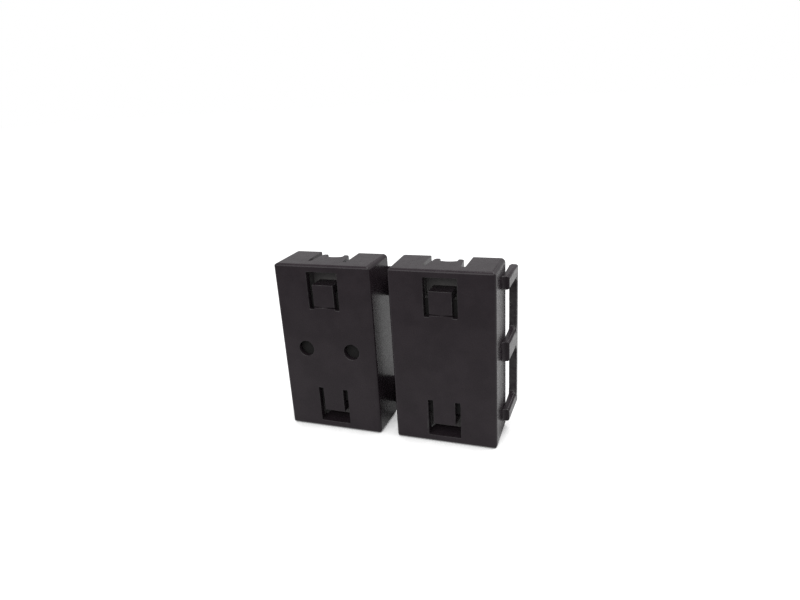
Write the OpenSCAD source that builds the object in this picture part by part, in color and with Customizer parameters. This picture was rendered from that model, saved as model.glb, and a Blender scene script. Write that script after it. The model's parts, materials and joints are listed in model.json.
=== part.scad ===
// Clip-on ferrite bead for a round cable, opened flat.
// One moulding makes two half shells, the straps that hinge them and the latch frame.
// Each half shell holds half of a split ferrite core. The bead stands on its end,
// with the cable axis along +Z, the outer faces towards -Y and the rims towards +Y.

/* [Half shells] */
// Width of one half shell at its rim, from its hinge wall to its latch wall
shell_w = 18.8; // [16:0.1:24]
// Length of the case along the cable
shell_len = 32.6; // [30:0.1:40]
// Depth of one half shell, from its outer face to its rim
shell_depth = 8.7; // [7.6:0.1:11]
// Thickness of the hinge wall and the latch wall at the rim
side_wall = 1.2; // [0.8:0.05:1.6]
// Thickness of the outer face
back_wall = 1.2; // [0.8:0.05:1.6]
// Thickness of the end walls
end_wall = 1.35; // [0.9:0.05:1.8]
// Radius of the edges round the outer face
edge_r = 0.6; // [0.2:0.05:0.8]
// Radius of the outer face's four corners
corner_r = 0.8; // [0.4:0.05:1.2]
// How far the hinge wall leans in, from its rim to the outer face
hinge_draft = 0.2; // [0:0.05:0.4]

/* [Ferrite core] */
// Radius of the cable hole through the closed core
bore_r = 3.4; // [2.5:0.05:3.8]
// Clearance between the core and the side and end walls
core_play = 0.1; // [0.05:0.01:0.2]
// Bevel along the core's outer edges
core_bevel = 0.6; // [0.5:0.05:0.8]
// Height of the core's mating face above the rim
core_proud = 0.03; // [0:0.01:0.04]

/* [Spring tongues] */
// Width of the cut-out round a tongue
window_w = 5.9; // [5:0.1:6.5]
// Length of the cut-out round a tongue
window_len = 7; // [6:0.1:8]
// Width of a tongue
tongue_w = 4.05; // [3:0.05:4.6]
// Length of a tongue from its root to its free end
tongue_len = 4.65; // [4:0.05:5.4]
// Depth of a tongue's hook below the outer face
hook_depth = 3.5; // [2.5:0.05:3.8]
// Length of the hook along the tongue
hook_len = 1.4; // [1:0.05:1.8]

/* [Cable flaps] */
// Width of the slits that free a flap from its end wall
slit_w = 0.65; // [0.4:0.05:0.8]
// Depth of a flap's root below the outer face
flap_root = 2.7; // [2:0.05:3]
// Width of the two prongs on a flap
prong_w = 1.05; // [0.6:0.05:1.2]
// Distance of the prong tips from the rim
prong_drop = 1.7; // [1.2:0.05:2.2]

/* [Hinge straps] */
// Gap between the two half shells' rims when the case lies open
hinge_gap = 2.8; // [2.4:0.1:4]
// Width of one strap along the cable
strap_w = 5.6; // [4:0.1:7]
// Thickness of a strap
strap_t = 0.4; // [0.3:0.05:0.6]
// Distance of a strap from the end of the case
strap_inset = 2.3; // [1:0.1:4]
// Gap between the two rims when the case is shut
shut_gap = 0.1; // [0.08:0.01:0.2]

/* [Latch] */
// Distance of the latch frame from the upper end of the case
latch_top_inset = 2.2; // [1.5:0.05:4]
// Distance of the latch frame from the lower end of the case
latch_foot_inset = 2.8; // [1.5:0.05:4]
// Distance from the rim down to the latch arms' root
latch_root = 3.35; // [2.5:0.05:4]
// Thickness of the latch arms at their root
arm_t = 1.25; // [1:0.05:1.4]
// Width of the outer latch arms
end_arm_w = 2.4; // [1.4:0.05:2.6]
// Width of the middle latch arm
mid_arm_w = 3.7; // [2:0.1:4.5]
// Height of the latch bar's hooking face above the shut rim
bar_reach = 3; // [2.6:0.05:3.4]
// Height of the latch bar
bar_h = 1.3; // [1:0.05:1.6]
// Distance that the latch bar's outer edge stands out from the wall
bar_out = 1.5; // [1.4:0.05:1.8]
// Distance that the catches stand out from the wall
catch_out = 0.9; // [0.6:0.05:1.1]

/* [Peg holes] */
// Radius of the two round holes in the catch half's outer face
hole_r = 1.5; // [1:0.05:1.8]
// Distance between the two holes
hole_pitch = 9.1; // [7.5:0.1:10]

/* [Hidden] */
$fn = 64;
eps = 0.01;
// How far a cut runs on past the surface it opens
over = 1;
case_black = [0.15, 0.15, 0.16];
ferrite_grey = [0.36, 0.35, 0.35];

// The middle of a half shell, and the frame's origin under the middle of the whole case
mid_w = shell_w / 2;
wall_lean = atan(hinge_draft / shell_depth);
origin_x = (bar_out - catch_out) / 2;
origin_y = (shell_depth + shut_gap + bar_reach + bar_h) / 2;

// Tongues: they clear the core's back, and their hooks stand in a notch in its end
tongue_gap = 0.2;
tongue_t = back_wall - tongue_gap;
tongue_bury = 0.5;
window_root = shell_len - end_wall - window_len;
tongue_end = window_root + tongue_len;
hook_start = tongue_end - hook_len;
hook_taper = 0.2;
notch_play = 0.4;
core_notch_w = window_w + 2 * 0.3;
crease_r = 0.2;
crease_at = 0.4;

// Cable flaps: the end wall's opening follows the bore
mouth_half = bore_r + 0.35;
flap_hollow_r = bore_r - 0.2;
flap_foot_half = mouth_half - slit_w;
flap_taper = 0.45;
flap_tip_half = flap_foot_half - flap_taper;
prong_gap_half = flap_tip_half - prong_w;
prong_top = shell_depth - prong_drop;
prong_bevel = 0.35;

// Ribs that keep the core from dropping out over its bevelled edges
rib_len = 5;
rib_out = 0.3;
rib_half = 0.17;
rib_drop = 0.28;

// Latch frame, measured from the latch wall's outer surface
arm_fillet = 0.6;
arm_free = 1.05;
arm_gap = 0.1;
arm_r = 0.5;
nose_gap = 0.05;
lead_in = 0.4;
window_r = 0.8;
frame_r = 0.5;
root_y = shell_depth - latch_root;
hook_y = shell_depth + shut_gap + bar_reach;
bar_top_y = hook_y + bar_h;
arm_lean = atan((bar_out - arm_t) / (bar_top_y - root_y));
latch_len = shell_len - latch_top_inset - latch_foot_inset;
latch_window = (latch_len - 2 * end_arm_w - mid_arm_w) / 2;
window_pitch = latch_window + mid_arm_w;
catch_play = 0.15;
catch_side_play = 0.8;
catch_len = latch_window - 2 * catch_side_play;
catch_lock_y = shell_depth - (bar_reach - catch_play);
catch_land = 0.5;
catch_foot_y = shell_depth - 0.5;

// A half shell is drawn with its hinge wall at x = 0 and its outer face at y = 0
module latch_side() {
    translate([hinge_gap / 2 - origin_x, -origin_y, 0]) children();
}

module catch_side() {
    translate([-origin_x, -origin_y, 0]) mirror([1, 0, 0]) translate([hinge_gap / 2, 0, 0]) children();
}

// Repeats a feature of the upper end, at z = shell_len, at the lower end as well
module both_ends() {
    children();
    translate([0, 0, shell_len]) mirror([0, 0, 1]) children();
}

// Draws a profile, given in (x, z), through a depth along +Y
module through_y(depth) {
    translate([0, depth, 0]) rotate([90, 0, 0]) linear_extrude(depth) children();
}

// Draws a profile, given in (z, y), across a width along +X
module across_x(width) {
    translate([width, 0, 0]) rotate([0, -90, 0]) linear_extrude(width) children();
}

// A rectangle with its two corners at y = 0 rounded
module tray_profile(width, depth, r) {
    translate([0, r]) square([width, depth - r]);
    translate([r, 0]) square([width - 2 * r, r + eps]);
    for (x = [r, width - r]) translate([x, r]) circle(r);
}

// A rectangle with all its corners rounded
module round_rect(width, height, r) {
    translate([0, r]) square([width, height - 2 * r]);
    translate([r, 0]) square([width - 2 * r, height]);
    for (x = [r, width - r], y = [r, height - r]) translate([x, y]) circle(r);
}

// A half shell's outline in (x, y). Its hinge wall, on the left, leans in towards y = 0,
// and the rounding at its foot touches both that wall and the outer face.
module shell_profile() {
    near_x = hinge_draft + edge_r * (1 / cos(wall_lean) - tan(wall_lean));
    far_x = shell_w - edge_r;
    polygon([
        [0, shell_depth],
        [near_x - edge_r * cos(wall_lean), edge_r - edge_r * sin(wall_lean)],
        [near_x, edge_r],
        [near_x, 0],
        [far_x, 0],
        [far_x, edge_r],
        [shell_w, edge_r],
        [shell_w, shell_depth]
    ]);
    for (x = [near_x, far_x]) translate([x, edge_r]) circle(edge_r);
}

// The latch wall's corners are rounded along +Y, and the hinge wall's along its lean.
// The leaning prism stands a hair clear of the wall, so that no two leaning faces coincide.
module shell_block() {
    intersection() {
        linear_extrude(shell_len) shell_profile();
        across_x(shell_w) tray_profile(shell_len, shell_depth, edge_r);
        translate([-shell_w, 0, 0]) through_y(shell_depth) round_rect(2 * shell_w, shell_len, corner_r);
        translate([-2 * eps, shell_depth, 0]) rotate(wall_lean) translate([0, -shell_depth - over, 0])
            through_y(shell_depth + 2 * over) round_rect(2 * shell_w, shell_len, corner_r);
    }
}

module cavity() {
    translate([side_wall, back_wall, end_wall])
        cube([shell_w - 2 * side_wall, shell_depth, shell_len - 2 * end_wall]);
}

module tongue_window() {
    translate([mid_w - window_w / 2, -over, window_root])
        cube([window_w, back_wall + 2 * over, window_len]);
}

// The tongue's side view in (z, y), rooted in the outer face
module tongue_profile() {
    polygon([
        [window_root - tongue_bury, 0],
        [tongue_end, 0],
        [tongue_end, hook_depth],
        [hook_start + hook_taper, hook_depth],
        [hook_start, tongue_t],
        [window_root - tongue_bury, tongue_t]
    ]);
}

module tongue() {
    translate([mid_w - tongue_w / 2, 0, 0]) across_x(tongue_w) tongue_profile();
}

// A shallow crease lets the upper tongues bend at their root
module tongue_crease() {
    translate([mid_w - tongue_w / 2 - eps, 0, window_root + crease_at])
        rotate([0, 90, 0]) cylinder(h = tongue_w + 2 * eps, r = crease_r);
}

// The flap's outline in (x, y), with a hollow between its prongs that follows the cable
module flap_profile() {
    difference() {
        translate([mid_w, 0]) polygon([
            [-flap_foot_half, flap_root - eps],
            [flap_foot_half, flap_root - eps],
            [flap_tip_half, prong_top - prong_bevel],
            [flap_tip_half - prong_bevel, prong_top],
            [-flap_tip_half + prong_bevel, prong_top],
            [-flap_tip_half, prong_top - prong_bevel]
        ]);
        intersection() {
            translate([mid_w, shell_depth]) circle(flap_hollow_r);
            translate([mid_w - prong_gap_half, 0]) square([2 * prong_gap_half, shell_depth]);
        }
    }
}

// The cable's way through an end wall, which leaves the flap standing in it
module end_mouth() {
    translate([0, 0, shell_len - end_wall - eps]) linear_extrude(end_wall + over) difference() {
        translate([mid_w - mouth_half, flap_root]) square([2 * mouth_half, shell_depth]);
        flap_profile();
    }
}

module core_rib() {
    translate([side_wall, shell_depth - rib_drop, (shell_len - rib_len) / 2]) linear_extrude(rib_len)
        polygon([[-eps, -rib_half], [rib_out, 0], [-eps, rib_half]]);
}

// Each half shell carries half of each strap, up to the fold line in mid-gap
module half_strap() {
    translate([-hinge_gap / 2, shell_depth - strap_t, shell_len - strap_inset - strap_w])
        cube([hinge_gap / 2 + side_wall / 2, strap_t, strap_w]);
}

module half_shell() {
    difference() {
        shell_block();
        cavity();
        both_ends() {
            tongue_window();
            end_mouth();
        }
    }
    difference() {
        both_ends() tongue();
        tongue_crease();
    }
    both_ends() half_strap();
    core_rib();
    translate([shell_w, 0, 0]) mirror([1, 0, 0]) core_rib();
}

// A catch: its flat face locks under the latch bar, its ramp pushes the bar out on closing
module catch() {
    linear_extrude(catch_len) polygon([
        [-eps, catch_lock_y],
        [catch_out, catch_lock_y],
        [catch_out, catch_lock_y + catch_land],
        [-eps, catch_foot_y]
    ]);
}

// One catch for each window of the latch frame
module catches() {
    first_z = latch_foot_inset + end_arm_w + catch_side_play;
    for (i = [0, 1]) translate([shell_w, 0, first_z + i * window_pitch]) catch();
}

module peg_holes() {
    for (side = [-1, 1])
        translate([mid_w + side * hole_pitch / 2, -over, shell_len / 2])
            rotate([-90, 0, 0]) cylinder(h = back_wall + 2 * over, r = hole_r);
}

// The frame's section in (x, y): root fillet, arm, and a hooked bar with a lead-in.
// Its outer side is left wide, because leaning_slab() cuts it.
module latch_section() {
    difference() {
        polygon([
            [0, root_y - arm_fillet],
            [arm_fillet, root_y - arm_fillet],
            [arm_fillet, root_y],
            [2 * bar_out, root_y],
            [2 * bar_out, bar_top_y],
            [lead_in, bar_top_y],
            [nose_gap, hook_y],
            [arm_gap, hook_y - arm_gap],
            [arm_gap, root_y + arm_free],
            [0, root_y + arm_free]
        ]);
        translate([arm_fillet, root_y - arm_fillet]) circle(arm_fillet);
    }
}

// One opening of the frame in (z, y), open at the root and rounded at the bar
module latch_opening() {
    square([latch_window, hook_y - window_r]);
    translate([window_r, 0]) square([latch_window - 2 * window_r, hook_y]);
    for (z = [window_r, latch_window - window_r]) translate([z, hook_y - window_r]) circle(window_r);
}

// The frame seen from the side in (z, y): three arms joined by the bar
module latch_outline() {
    difference() {
        translate([latch_len, bar_top_y]) rotate(180) tray_profile(latch_len, bar_top_y, frame_r);
        for (i = [0, 1]) translate([end_arm_w + i * window_pitch, 0]) latch_opening();
    }
}

// Part of the frame from z = start on, and from y = low up, with its two outer corners rounded.
// Its outer face leans out from the arms' thickness at the root to the bar's outer edge.
module leaning_slab(start, length, low) {
    translate([arm_t, root_y, start]) rotate(-arm_lean) translate([-arm_t, low - root_y, 0])
        through_y(2 * bar_top_y) translate([arm_t, 0]) rotate(90) tray_profile(length, 2 * arm_t, arm_r);
}

module arm_slabs() {
    leaning_slab(0, end_arm_w, 0);
    leaning_slab(end_arm_w + latch_window, mid_arm_w, 0);
    leaning_slab(latch_len - end_arm_w, end_arm_w, 0);
    leaning_slab(0, latch_len, hook_y - window_r);
}

module frame_shape() {
    translate([shell_w, 0, latch_foot_inset]) intersection() {
        linear_extrude(latch_len) latch_section();
        across_x(2 * bar_out) latch_outline();
        arm_slabs();
    }
}

// The core half's section in (x, y), with the cable groove centred between the shut rims
module core_profile() {
    x0 = side_wall + core_play;
    x1 = shell_w - x0;
    y1 = shell_depth + core_proud;
    difference() {
        polygon([
            [x0 + core_bevel, back_wall],
            [x1 - core_bevel, back_wall],
            [x1, back_wall + core_bevel],
            [x1, y1 - core_bevel],
            [x1 - core_bevel, y1],
            [x0 + core_bevel, y1],
            [x0, y1 - core_bevel],
            [x0, back_wall + core_bevel]
        ]);
        translate([mid_w, shell_depth + shut_gap / 2]) circle(bore_r);
    }
}

module half_core() {
    difference() {
        translate([0, 0, end_wall + core_play])
            linear_extrude(shell_len - 2 * (end_wall + core_play)) core_profile();
        both_ends() translate([mid_w - core_notch_w / 2, 0, hook_start - notch_play])
            cube([core_notch_w, hook_depth, shell_len]);
    }
}

module latch_shell() {
    color(case_black) latch_side() half_shell();
}

module catch_shell() {
    color(case_black) catch_side() difference() {
        union() {
            half_shell();
            catches();
        }
        peg_holes();
    }
}

module latch_frame() {
    color(case_black) latch_side() frame_shape();
}

module latch_side_core() {
    color(ferrite_grey) latch_side() half_core();
}

module catch_side_core() {
    color(ferrite_grey) catch_side() half_core();
}

latch_shell();
catch_shell();
latch_frame();
latch_side_core();
catch_side_core();
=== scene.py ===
# Clip-on ferrite bead for a round cable, opened flat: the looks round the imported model.
# Every length is in metres, in the model's own frame: the cable axis is along +Z, the outer
# faces look towards -Y, the rims towards +Y, and the latch half lies on the +X side.
import json
import math

import bmesh
import bpy
from mathutils import Matrix, Vector
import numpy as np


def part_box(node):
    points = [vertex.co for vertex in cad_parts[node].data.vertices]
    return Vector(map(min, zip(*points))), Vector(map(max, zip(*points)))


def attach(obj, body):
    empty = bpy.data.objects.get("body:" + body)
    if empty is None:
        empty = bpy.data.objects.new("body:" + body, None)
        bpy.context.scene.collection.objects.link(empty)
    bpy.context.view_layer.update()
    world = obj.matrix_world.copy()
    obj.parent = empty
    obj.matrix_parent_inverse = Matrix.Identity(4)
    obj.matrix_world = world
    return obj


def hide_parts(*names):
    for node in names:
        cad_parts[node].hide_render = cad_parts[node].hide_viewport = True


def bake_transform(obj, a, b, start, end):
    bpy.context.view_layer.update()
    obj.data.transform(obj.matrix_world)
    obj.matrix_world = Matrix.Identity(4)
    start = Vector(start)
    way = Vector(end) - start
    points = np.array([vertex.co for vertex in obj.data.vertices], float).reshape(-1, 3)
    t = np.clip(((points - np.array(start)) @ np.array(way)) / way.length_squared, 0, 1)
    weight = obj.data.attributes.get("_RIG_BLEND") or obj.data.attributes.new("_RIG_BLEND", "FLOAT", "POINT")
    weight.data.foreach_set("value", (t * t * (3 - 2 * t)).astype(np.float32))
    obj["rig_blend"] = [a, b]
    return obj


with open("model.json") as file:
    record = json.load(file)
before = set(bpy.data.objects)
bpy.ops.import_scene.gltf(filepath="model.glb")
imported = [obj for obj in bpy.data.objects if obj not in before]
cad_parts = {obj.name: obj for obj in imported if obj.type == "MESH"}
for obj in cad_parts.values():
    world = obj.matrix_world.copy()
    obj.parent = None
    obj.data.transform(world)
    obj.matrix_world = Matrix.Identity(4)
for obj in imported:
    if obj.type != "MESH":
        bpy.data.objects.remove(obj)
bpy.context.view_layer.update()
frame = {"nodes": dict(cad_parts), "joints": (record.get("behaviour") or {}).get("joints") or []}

MM = 0.001
NODES = frame["nodes"]
JOINTS = {joint["name"]: joint for joint in frame["joints"]}

# ---------------------------------------------------------------- Camera

# Fitted to the edges of both halves in the photograph. Angles are in degrees, and the lens
# and the sensor are in millimetres.
CAMERA_AT = Vector((37.17, -97.46, 61.43)) * MM
CAMERA_AZIMUTH = 20.35
CAMERA_ELEVATION = 19.52
CAMERA_ROLL = -3.57
CAMERA_LENS = 27.22
SENSOR_WIDTH = 36
CLIP_NEAR = 1 * MM
CLIP_FAR = 10


def make_camera():
    data = bpy.data.cameras.new("camera")
    data.lens = CAMERA_LENS
    data.sensor_width = SENSOR_WIDTH
    data.clip_start = CLIP_NEAR
    data.clip_end = CLIP_FAR
    camera = bpy.data.objects.new("camera", data)
    bpy.context.scene.collection.objects.link(camera)
    turn = Matrix.Rotation(math.radians(CAMERA_AZIMUTH), 4, "Z")
    tilt = Matrix.Rotation(math.radians(90 - CAMERA_ELEVATION), 4, "X")
    roll = Matrix.Rotation(math.radians(CAMERA_ROLL), 4, "Z")
    camera.matrix_world = Matrix.Translation(CAMERA_AT) @ turn @ tilt @ roll
    bpy.context.scene.camera = camera


# ---------------------------------------------------------------- Node helpers

# A Mix node has two inputs and one output of its own for each kind of value.
NUMBERS_IN = (2, 3)
NUMBER_OUT = 0
COLOURS_IN = (6, 7)
COLOUR_OUT = 2


class Shading:
    """A node tree with short calls that add nodes and link them."""

    def __init__(self, tree):
        self.tree = tree
        self.tree.nodes.clear()

    def add(self, kind, **values):
        """Adds a node. Values name its properties, or its inputs with spaces as underscores."""
        node = self.tree.nodes.new(kind)
        for name, value in values.items():
            if hasattr(node, name):
                setattr(node, name, value)
            else:
                self.put(node, name.replace("_", " "), value)
        return node

    def put(self, node, socket, value):
        """Links value into an input if it is a socket, and sets the input to it otherwise."""
        if isinstance(value, bpy.types.NodeSocket):
            self.tree.links.new(value, node.inputs[socket])
        else:
            node.inputs[socket].default_value = value

    def math(self, operation, first, second=0.0):
        node = self.add("ShaderNodeMath", operation=operation)
        self.put(node, 0, first)
        self.put(node, 1, second)
        return node.outputs[0]

    def blend(self, factor, first, second):
        """A number that goes from first, at factor 0, to second, at factor 1."""
        node = self.add("ShaderNodeMix", data_type="FLOAT")
        self.put(node, 0, factor)
        self.put(node, NUMBERS_IN[0], first)
        self.put(node, NUMBERS_IN[1], second)
        return node.outputs[NUMBER_OUT]

    def tint(self, factor, first, second):
        """A colour that goes from first, at factor 0, to second, at factor 1."""
        node = self.add("ShaderNodeMix", data_type="RGBA")
        self.put(node, 0, factor)
        self.put(node, COLOURS_IN[0], first)
        self.put(node, COLOURS_IN[1], second)
        return node.outputs[COLOUR_OUT]

    def ramp(self, value, low, high):
        """0 where value is below low, 1 where it is above high, smooth between them."""
        node = self.add("ShaderNodeMapRange", interpolation_type="SMOOTHSTEP", Value=value)
        self.put(node, "From Min", low)
        self.put(node, "From Max", high)
        return node.outputs[0]

    def noise(self, coordinates, grain, detail=3.0):
        """Noise whose blotches are about grain metres across."""
        node = self.add("ShaderNodeTexNoise", Vector=coordinates, Scale=1 / grain, Detail=detail)
        return node.outputs["Fac"]


def new_material(name):
    material = bpy.data.materials.new(name)
    material.use_nodes = True
    return material, Shading(material.node_tree)


# ---------------------------------------------------------------- Stage and light

WHITE = (1, 1, 1, 1)
# The world's strength for the camera, in reflections and as a light.
WORLD_SEEN = 1.0
WORLD_MIRROR = 0.57
WORLD_LIGHT = 0.5

FLOOR_SIZE = 4
FLOOR_COLOUR = (0.3, 0.3, 0.3, 1)
# The glow that the camera sees goes from near to far over the spread. Close to the piece it
# fades, as the free share of the space within contact reach falls to the lower open value.
GLOW_NEAR = 0.78
GLOW_FAR = 0.86
GLOW_SPREAD = 0.6
CONTACT_REACH = 5 * MM
CONTACT_OPEN = (0.1, 0.6)
CONTACT_SAMPLES = 4
# The glow that the piece mirrors grows from front to back over mirror Y. It leaves out the
# floor in the piece's shadow, whose edges are soft between each pair of shade values.
MIRROR_Y = (-90 * MM, -10 * MM)
MIRROR_GLOW = (0.0, 0.57)
SHADE_SIDE = (20 * MM, 23.5 * MM)
SHADE_FRONT = (-6 * MM, 2 * MM)
SHADE_BACK = (6 * MM, 26 * MM)

# The lamps look at the middle of the piece. Their powers are in watts.
LAMP_TARGET = (0, 0, 15 * MM)
KEY_PLACE = (0.12, 0.10, 0.40)
KEY_SIZE = (0.30, 0.30)
KEY_POWER = 2.0
FILL_PLACE = (-0.03, -0.45, 0.36)
FILL_SIZE = (0.70, 0.45)
FILL_POWER = 2.9


def make_world():
    """A white surround for the camera, dimmer in reflections and dimmer still as a light."""
    world = bpy.data.worlds.new("studio")
    world.use_nodes = True
    bpy.context.scene.world = world
    shading = Shading(world.node_tree)
    path = shading.add("ShaderNodeLightPath")
    strength = shading.blend(path.outputs["Is Glossy Ray"], WORLD_LIGHT, WORLD_MIRROR)
    strength = shading.blend(path.outputs["Is Camera Ray"], strength, WORLD_SEEN)
    glow = shading.add("ShaderNodeBackground", Color=WHITE, Strength=strength)
    shading.add("ShaderNodeOutputWorld", Surface=glow.outputs[0])


def seen_glow(shading, place):
    """The floor's brightness for the camera, with a soft contact shadow round the piece."""
    distance = shading.add("ShaderNodeVectorMath", operation="LENGTH", Vector=place).outputs["Value"]
    level = shading.blend(shading.ramp(distance, 0, GLOW_SPREAD), GLOW_NEAR, GLOW_FAR)
    contact = shading.add("ShaderNodeAmbientOcclusion", samples=CONTACT_SAMPLES, Distance=CONTACT_REACH)
    return shading.math("MULTIPLY", level, shading.ramp(contact.outputs["AO"], *CONTACT_OPEN))


def open_floor(shading, axes):
    """0 on the floor right behind the piece, which lies in its shadow, and 1 round about."""
    aside = shading.ramp(shading.math("ABSOLUTE", axes["X"]), *SHADE_SIDE)
    ahead = shading.math("SUBTRACT", 1.0, shading.ramp(axes["Y"], *SHADE_FRONT))
    behind = shading.ramp(axes["Y"], *SHADE_BACK)
    return shading.math("MAXIMUM", aside, shading.math("MAXIMUM", ahead, behind))


def mirrored_glow(shading, place):
    """The floor's brightness in the piece's gloss."""
    axes = shading.add("ShaderNodeSeparateXYZ", Vector=place).outputs
    level = shading.blend(shading.ramp(axes["Y"], *MIRROR_Y), *MIRROR_GLOW)
    return shading.math("MULTIPLY", level, open_floor(shading, axes))


def floor_material():
    """Matt paper whose glow shows to the camera and in reflections, and lights nothing else."""
    material, shading = new_material("floor_paper")
    matt = shading.add("ShaderNodeBsdfDiffuse", Color=FLOOR_COLOUR)
    place = shading.add("ShaderNodeTexCoord").outputs["Object"]
    path = shading.add("ShaderNodeLightPath")
    seen = shading.math("MULTIPLY", seen_glow(shading, place), path.outputs["Is Camera Ray"])
    mirrored = shading.math("MULTIPLY", mirrored_glow(shading, place), path.outputs["Is Glossy Ray"])
    level = shading.math("ADD", seen, mirrored)
    glow = shading.add("ShaderNodeEmission", Color=WHITE, Strength=level)
    both = shading.add("ShaderNodeAddShader")
    shading.put(both, 0, matt.outputs[0])
    shading.put(both, 1, glow.outputs[0])
    shading.add("ShaderNodeOutputMaterial", Surface=both.outputs[0])
    return material


def make_floor():
    mesh = bpy.data.meshes.new("floor")
    half = FLOOR_SIZE / 2
    corners = [(-half, -half, 0), (half, -half, 0), (half, half, 0), (-half, half, 0)]
    mesh.from_pydata(corners, [], [(0, 1, 2, 3)])
    mesh.materials.append(floor_material())
    floor = bpy.data.objects.new("floor", mesh)
    bpy.context.scene.collection.objects.link(floor)


def make_lamp(name, place, size, power):
    """A soft rectangular lamp that looks at the piece, with size as its width and height."""
    data = bpy.data.lights.new(name, "AREA")
    data.shape = "RECTANGLE"
    data.size, data.size_y = size
    data.energy = power
    lamp = bpy.data.objects.new(name, data)
    bpy.context.scene.collection.objects.link(lamp)
    way = Vector(LAMP_TARGET) - Vector(place)
    lamp.matrix_world = Matrix.Translation(place) @ way.to_track_quat("-Z", "Y").to_matrix().to_4x4()


# ---------------------------------------------------------------- Materials

# A grain is the size of a noise's blotches, and a range is the noise values that a ramp spans.
PLASTIC_DARK = (0.0145, 0.0107, 0.0133, 1)
PLASTIC_PALE = (0.0184, 0.0139, 0.0169, 1)
# Paler colour of bevelled edges and hooking faces: partly rubbed wear, partly a painted highlight.
PLASTIC_WEAR_AND_HIGHLIGHT = (0.034, 0.032, 0.033, 1)
PLASTIC_SHEEN = 0.18
PLASTIC_ROUGHNESS = (0.24, 0.32)
WORN_ROUGHNESS = 0.24
FLOW_GRAIN = 4 * MM
FLOW_RANGE = (0.35, 0.65)
MOTTLE_GRAIN = 0.9 * MM
MOTTLE_RANGE = (0.3, 0.7)
MOTTLE_HEIGHT = 0.5
SPARK_GRAIN = 0.13 * MM
SPARK_DETAIL = 2.0
PLASTIC_BUMP = 0.25
PLASTIC_RELIEF = 0.012 * MM


def plastic_material():
    """Black moulding with a fine spark texture, faint flow marks and paler edges, partly rubbed and partly a
    painted highlight.
    """
    material, shading = new_material("case_plastic_black")
    place = shading.add("ShaderNodeTexCoord").outputs["Object"]
    flow = shading.noise(place, FLOW_GRAIN)
    mottle = shading.noise(place, MOTTLE_GRAIN)
    spark = shading.noise(place, SPARK_GRAIN, SPARK_DETAIL)
    patches = shading.ramp(mottle, *MOTTLE_RANGE)
    wear_and_highlight = shading.add("ShaderNodeAttribute", attribute_name="edge_wear_and_highlight").outputs["Fac"]
    colour = shading.tint(shading.ramp(flow, *FLOW_RANGE), PLASTIC_DARK, PLASTIC_PALE)
    # Bevels and hooking faces turn paler in patches: partly wear, partly a painted highlight.
    colour = shading.tint(shading.math("MULTIPLY", wear_and_highlight, patches), colour, PLASTIC_WEAR_AND_HIGHLIGHT)
    roughness = shading.blend(patches, *PLASTIC_ROUGHNESS)
    roughness = shading.blend(wear_and_highlight, roughness, WORN_ROUGHNESS)
    height = shading.math("ADD", spark, shading.math("MULTIPLY", mottle, MOTTLE_HEIGHT))
    bump = shading.add("ShaderNodeBump", Strength=PLASTIC_BUMP, Distance=PLASTIC_RELIEF, Height=height)
    shader = shading.add("ShaderNodeBsdfPrincipled", Base_Color=colour, Roughness=roughness)
    shading.put(shader, "Specular IOR Level", PLASTIC_SHEEN)
    shading.put(shader, "Normal", bump.outputs[0])
    shading.add("ShaderNodeOutputMaterial", Surface=shader.outputs[0])
    return material


FERRITE_BACK = (0.012, 0.0115, 0.0115, 1)
FERRITE_SKIN = (0.092, 0.088, 0.088, 1)
FERRITE_GROUND = (0.125, 0.123, 0.121, 1)
FERRITE_SHEEN = 0.12
SKIN_ROUGHNESS = 0.75
GROUND_ROUGHNESS = 0.42
# The skin is darker towards the back, where the windows show it: dark at the dark depth and pale from the
# pale depth inwards.
SKIN_DARK_Y = -5.3 * MM
SKIN_PALE_Y = -4.5 * MM
# Ground faces look straight towards +Y and lie within grind depth of the mating plane.
GRIND_FACING = 0.98
GRIND_DEPTH = 0.3 * MM
GRIND_GRAIN = 0.07 * MM
GRIND_DETAIL = 2.0
GRIND_STRETCH = (0.06, 1, 1)
SPECKLE_GRAIN = 0.12 * MM
SPECKLE_DETAIL = 4.0
SPECKLE_RANGE = (0.3, 0.7)
SPECKLE_LEVELS = (0.85, 1.15)
CLOUD_GRAIN = 2.5 * MM
CLOUD_LEVELS = (0.9, 1.1)
FERRITE_BUMP = 0.5
FERRITE_RELIEF = 0.010 * MM


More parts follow.
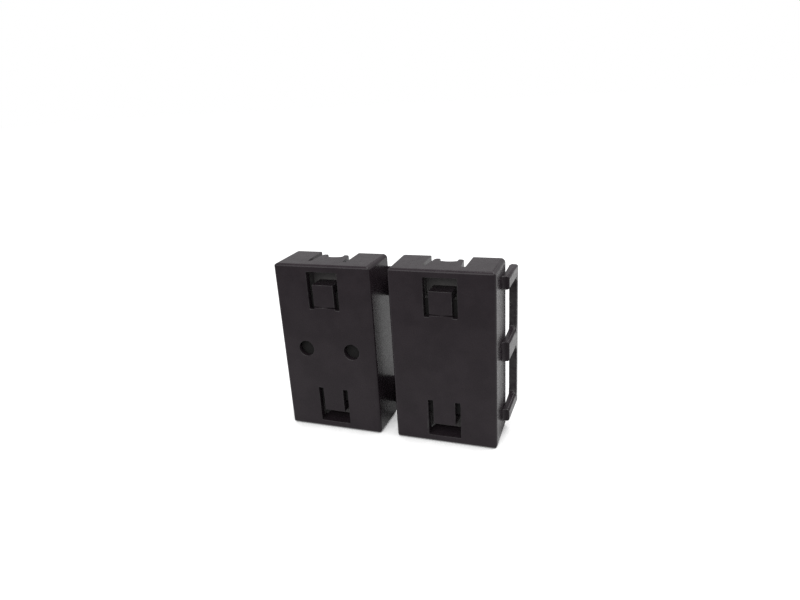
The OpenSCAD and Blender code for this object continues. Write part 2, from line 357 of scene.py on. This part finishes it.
def ferrite_material():
    """Sintered ferrite: a dark matt skin, darkest at the back, with paler ground mating faces."""
    material, shading = new_material("ferrite_grey")
    texture = shading.add("ShaderNodeTexCoord")
    place = texture.outputs["Object"]
    facing = shading.add("ShaderNodeSeparateXYZ", Vector=texture.outputs["Normal"])
    depth = shading.add("ShaderNodeSeparateXYZ", Vector=place).outputs["Y"]
    ground_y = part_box("latch_side_core")[1].y - GRIND_DEPTH
    ground = shading.math("GREATER_THAN", facing.outputs["Y"], GRIND_FACING)
    ground = shading.math("MULTIPLY", ground, shading.math("GREATER_THAN", depth, ground_y))
    speckle = shading.noise(place, SPECKLE_GRAIN, SPECKLE_DETAIL)
    cloud = shading.noise(place, CLOUD_GRAIN)
    skin = shading.tint(shading.ramp(depth, SKIN_DARK_Y, SKIN_PALE_Y), FERRITE_BACK, FERRITE_SKIN)
    colour = shading.tint(ground, skin, FERRITE_GROUND)
    level = shading.blend(shading.ramp(speckle, *SPECKLE_RANGE), *SPECKLE_LEVELS)
    level = shading.math("MULTIPLY", level, shading.blend(cloud, *CLOUD_LEVELS))
    shaded = shading.add("ShaderNodeVectorMath", operation="SCALE", Vector=colour, Scale=level)
    stretched = shading.add("ShaderNodeMapping", Vector=place, Scale=GRIND_STRETCH)
    scratches = shading.noise(stretched.outputs[0], GRIND_GRAIN, GRIND_DETAIL)
    height = shading.blend(ground, speckle, scratches)
    bump = shading.add("ShaderNodeBump", Strength=FERRITE_BUMP, Distance=FERRITE_RELIEF, Height=height)
    roughness = shading.blend(ground, SKIN_ROUGHNESS, GROUND_ROUGHNESS)
    shader = shading.add("ShaderNodeBsdfPrincipled", Base_Color=shaded.outputs[0], Roughness=roughness)
    shading.put(shader, "Specular IOR Level", FERRITE_SHEEN)
    shading.put(shader, "Normal", bump.outputs[0])
    shading.add("ShaderNodeOutputMaterial", Surface=shader.outputs[0])
    return material


# ---------------------------------------------------------------- Shapes from the CAD nodes

# Vertices nearer than weld become one, and faces that turn less than flat lie in one plane.
# Edges that turn more than sharp get a bevel, which is edge wide.
WELD = 0.002 * MM
FLAT = math.radians(0.6)
SHARP = math.radians(25)
EDGE = 0.10 * MM
EDGE_STEPS = 2


def weld(bm):
    bmesh.ops.remove_doubles(bm, verts=bm.verts, dist=WELD)


def node_mesh(name):
    """A CAD node's surface as a bmesh with one vertex per corner."""
    bm = bmesh.new()
    bm.from_mesh(NODES[name].data)
    weld(bm)
    return bm


def join_planes(bm):
    """Joins the triangles of each plane into one face."""
    bmesh.ops.dissolve_limit(bm, angle_limit=FLAT, verts=bm.verts, edges=bm.edges)


def corner(bm, pick):
    """The lowest or the highest corner of a bmesh's bounds, with pick as min or max."""
    return [pick(vert.co[axis] for vert in bm.verts) for axis in range(3)]


def break_edges(bm, keep_out=lambda edge: False):
    """Gives each sharp edge a small rounded bevel inside the old bounds, marked for a paler colour that is
    partly wear and partly a painted highlight.
    """
    wear_and_highlight = bm.faces.layers.float.new("edge_wear_and_highlight")
    low, high = corner(bm, min), corner(bm, max)
    edges = [
        edge
        for edge in bm.edges
        if len(edge.link_faces) == 2 and edge.calc_face_angle() > SHARP and not keep_out(edge)
    ]
    made = bmesh.ops.bevel(
        bm, geom=edges, offset=EDGE, offset_type="OFFSET", segments=EDGE_STEPS, profile=0.5,
        affect="EDGES", clamp_overlap=False, miter_outer="ARC", spread=EDGE, loop_slide=True)
    # The bevels are marked for the paler colour, which is partly a painted highlight.
    for face in made["faces"]:
        face[wear_and_highlight] = 1.0
    for vert in bm.verts:
        vert.co = [min(max(x, least), most) for x, least, most in zip(vert.co, low, high)]


def add_piece(name, bm, material, body):
    """Turns a bmesh into a shown piece, which rides on a body if one is named."""
    mesh = bpy.data.meshes.new(name)
    bm.to_mesh(mesh)
    bm.free()
    mesh.materials.append(material)
    for face in mesh.polygons:
        face.use_smooth = True
    piece = bpy.data.objects.new(name, mesh)
    bpy.context.scene.collection.objects.link(piece)
    normals = piece.modifiers.new("normals", "WEIGHTED_NORMAL")
    normals.keep_sharp = True
    normals.weight = 100
    if body:
        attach(piece, body)
    return piece


# ---------------------------------------------------------------- Half shells

# The hinge walls are a gap apart at the rims, and lean apart by the draft over their depth.
HINGE_GAP = 2.8 * MM
HINGE_DRAFT = 0.2 * MM
RIM_Y = 2.15 * MM
DEPTH = 8.7 * MM
FOLD_X = JOINTS["strap_hinge"]["pos_m"][0]
# The creases are where the upper tongues bend, and the ribs on the side walls keep the core in.
CREASE_Y = -6.55 * MM
CREASE_Z = 24.65 * MM
CREASE_R = 0.2 * MM
CREASE_REACH = 1.01 * CREASE_R
RIB_Y = 1.87 * MM
RIB_Z = (13.75 * MM, 18.85 * MM)
RIB_REACH = 0.25 * MM


def drop_half_straps(bm, side):
    """Pushes the strap stubs back into the hinge wall, which leaves the wall whole."""
    for vert in bm.verts:
        lean = HINGE_DRAFT * (RIM_Y - vert.co.y) / DEPTH
        wall = FOLD_X + side * (HINGE_GAP / 2 + lean)
        if side * (vert.co.x - wall) < 0:
            vert.co.x = wall
    weld(bm)


def square_creases(bm):
    """Makes the round creases at the upper tongues' roots V-shaped, so that bevels can end there."""
    for vert in bm.verts:
        across = vert.co.z - CREASE_Z
        inwards = vert.co.y - CREASE_Y
        if abs(math.hypot(across, inwards) - CREASE_R) < WELD:
            angle = math.atan2(inwards, across)
            snapped = round(angle / (math.pi / 2)) * math.pi / 2
            vert.co.z = CREASE_Z + CREASE_R * math.cos(snapped)
            vert.co.y = CREASE_Y + CREASE_R * math.sin(snapped)
    weld(bm)


def too_fine(edge):
    """The creases, and the ribs inside the case, are too small to bevel."""
    middle = (edge.verts[0].co + edge.verts[1].co) / 2
    crease = abs(middle.z - CREASE_Z) < CREASE_REACH and middle.y - CREASE_Y < CREASE_REACH
    rib = RIB_Z[0] < middle.z < RIB_Z[1] and abs(middle.y - RIB_Y) < RIB_REACH
    return crease or rib


def make_shell(node, name, side, body, material):
    """A half shell without its strap stubs. Side is 1 for the one at +X, and -1 at -X."""
    bm = node_mesh(node)
    drop_half_straps(bm, side)
    square_creases(bm)
    join_planes(bm)
    break_edges(bm, too_fine)
    piece = add_piece(name, bm, material, body)
    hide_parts(node)


# ---------------------------------------------------------------- Straps

LOWER_STRAP_Z = (2.3 * MM, 7.9 * MM)
UPPER_STRAP_Z = (24.7 * MM, 30.3 * MM)
STRAP_Y = (1.75 * MM, 2.15 * MM)
STRAP_STEPS = 36
FOLD_REACH = 0.6 * MM


def make_strap(name, z_range, material):
    """One thin strap from wall to wall, which bends at the fold line as the case shuts."""
    bm = bmesh.new()
    reach = HINGE_GAP / 2 + EDGE
    front, back = STRAP_Y
    low, high = z_range
    outline = [(front, low), (back, low), (back, high), (front, high)]
    rings = []
    for i in range(STRAP_STEPS + 1):
        x = FOLD_X - reach + 2 * reach * i / STRAP_STEPS
        rings.append([bm.verts.new((x, y, z)) for y, z in outline])
    for left, right in zip(rings, rings[1:]):
        for k in range(4):
            bm.faces.new((left[k], right[k], right[(k + 1) % 4], left[(k + 1) % 4]))
    bm.faces.new(rings[0])
    bm.faces.new(rings[-1][::-1])
    bmesh.ops.recalc_face_normals(bm, faces=bm.faces)
    piece = add_piece(name, bm, material, None)
    # Named in this order, the two bodies bend the strap outwards at the exact half turn too.
    start = (FOLD_X - FOLD_REACH, front, low)
    end = (FOLD_X + FOLD_REACH, front, low)
    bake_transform(piece, "catch_half", "latch_half", start, end)


# ---------------------------------------------------------------- Latch frame and cores

# The latch bar's nose is a hair clear of the wall that it passes.
NOSE_X = 19.95 * MM
HOOK_Y = (4.4 * MM, 5.3 * MM)
HOOK_DRAFT = 0.25
HOOK_FACING = 0.8


def lean_hooks(bm):
    """Lets the latch bar's hooking faces, and the fillets beside them, lean back outwards."""
    for vert in bm.verts:
        if HOOK_Y[0] < vert.co.y < HOOK_Y[1]:
            vert.co.y += HOOK_DRAFT * max(vert.co.x - NOSE_X, 0)


def mark_hook_wear_and_highlight(bm):
    """Marks the hooking faces, which rub over the catches, as worn; their paler colour is partly a painted
    highlight.
    """
    wear_and_highlight = bm.faces.layers.float["edge_wear_and_highlight"]
    for face in bm.faces:
        if face.normal.y < -HOOK_FACING and face.calc_center_median().y > HOOK_Y[0]:
            face[wear_and_highlight] = 1.0


def clear_wall(bm):
    """Keeps the bevels beyond the rim off the wall that they pass as the case shuts."""
    for vert in bm.verts:
        if vert.co.y > RIM_Y:
            vert.co.x = max(vert.co.x, NOSE_X)


def make_latch(material):
    """The latch frame, a piece of its own because it bends out over the catches."""
    bm = node_mesh("latch_frame")
    lean_hooks(bm)
    join_planes(bm)
    break_edges(bm)
    # The hooking faces get the paler worn colour, which is partly a painted highlight.
    mark_hook_wear_and_highlight(bm)
    clear_wall(bm)
    piece = add_piece("latch_loop", bm, material, "latch")
    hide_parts("latch_frame")


def make_core(node, name, body, material):
    """Half of the split core, which stays in its half of the case."""
    bm = node_mesh(node)
    join_planes(bm)
    break_edges(bm)
    piece = add_piece(name, bm, material, body)
    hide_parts(node)


# ---------------------------------------------------------------- The piece

make_camera()
make_world()
make_floor()
make_lamp("key", KEY_PLACE, KEY_SIZE, KEY_POWER)
make_lamp("fill", FILL_PLACE, FILL_SIZE, FILL_POWER)

plastic = plastic_material()
ferrite = ferrite_material()
make_shell("latch_shell", "latch_half_case", 1, "latch_half", plastic)
make_shell("catch_shell", "catch_half_case", -1, "catch_half", plastic)
make_strap("lower_strap", LOWER_STRAP_Z, plastic)
make_strap("upper_strap", UPPER_STRAP_Z, plastic)
make_latch(plastic)
make_core("latch_side_core", "latch_half_core", "latch_half", ferrite)
make_core("catch_side_core", "catch_half_core", "catch_half", ferrite)

scene = bpy.context.scene
scene.view_settings.view_transform = "Standard"
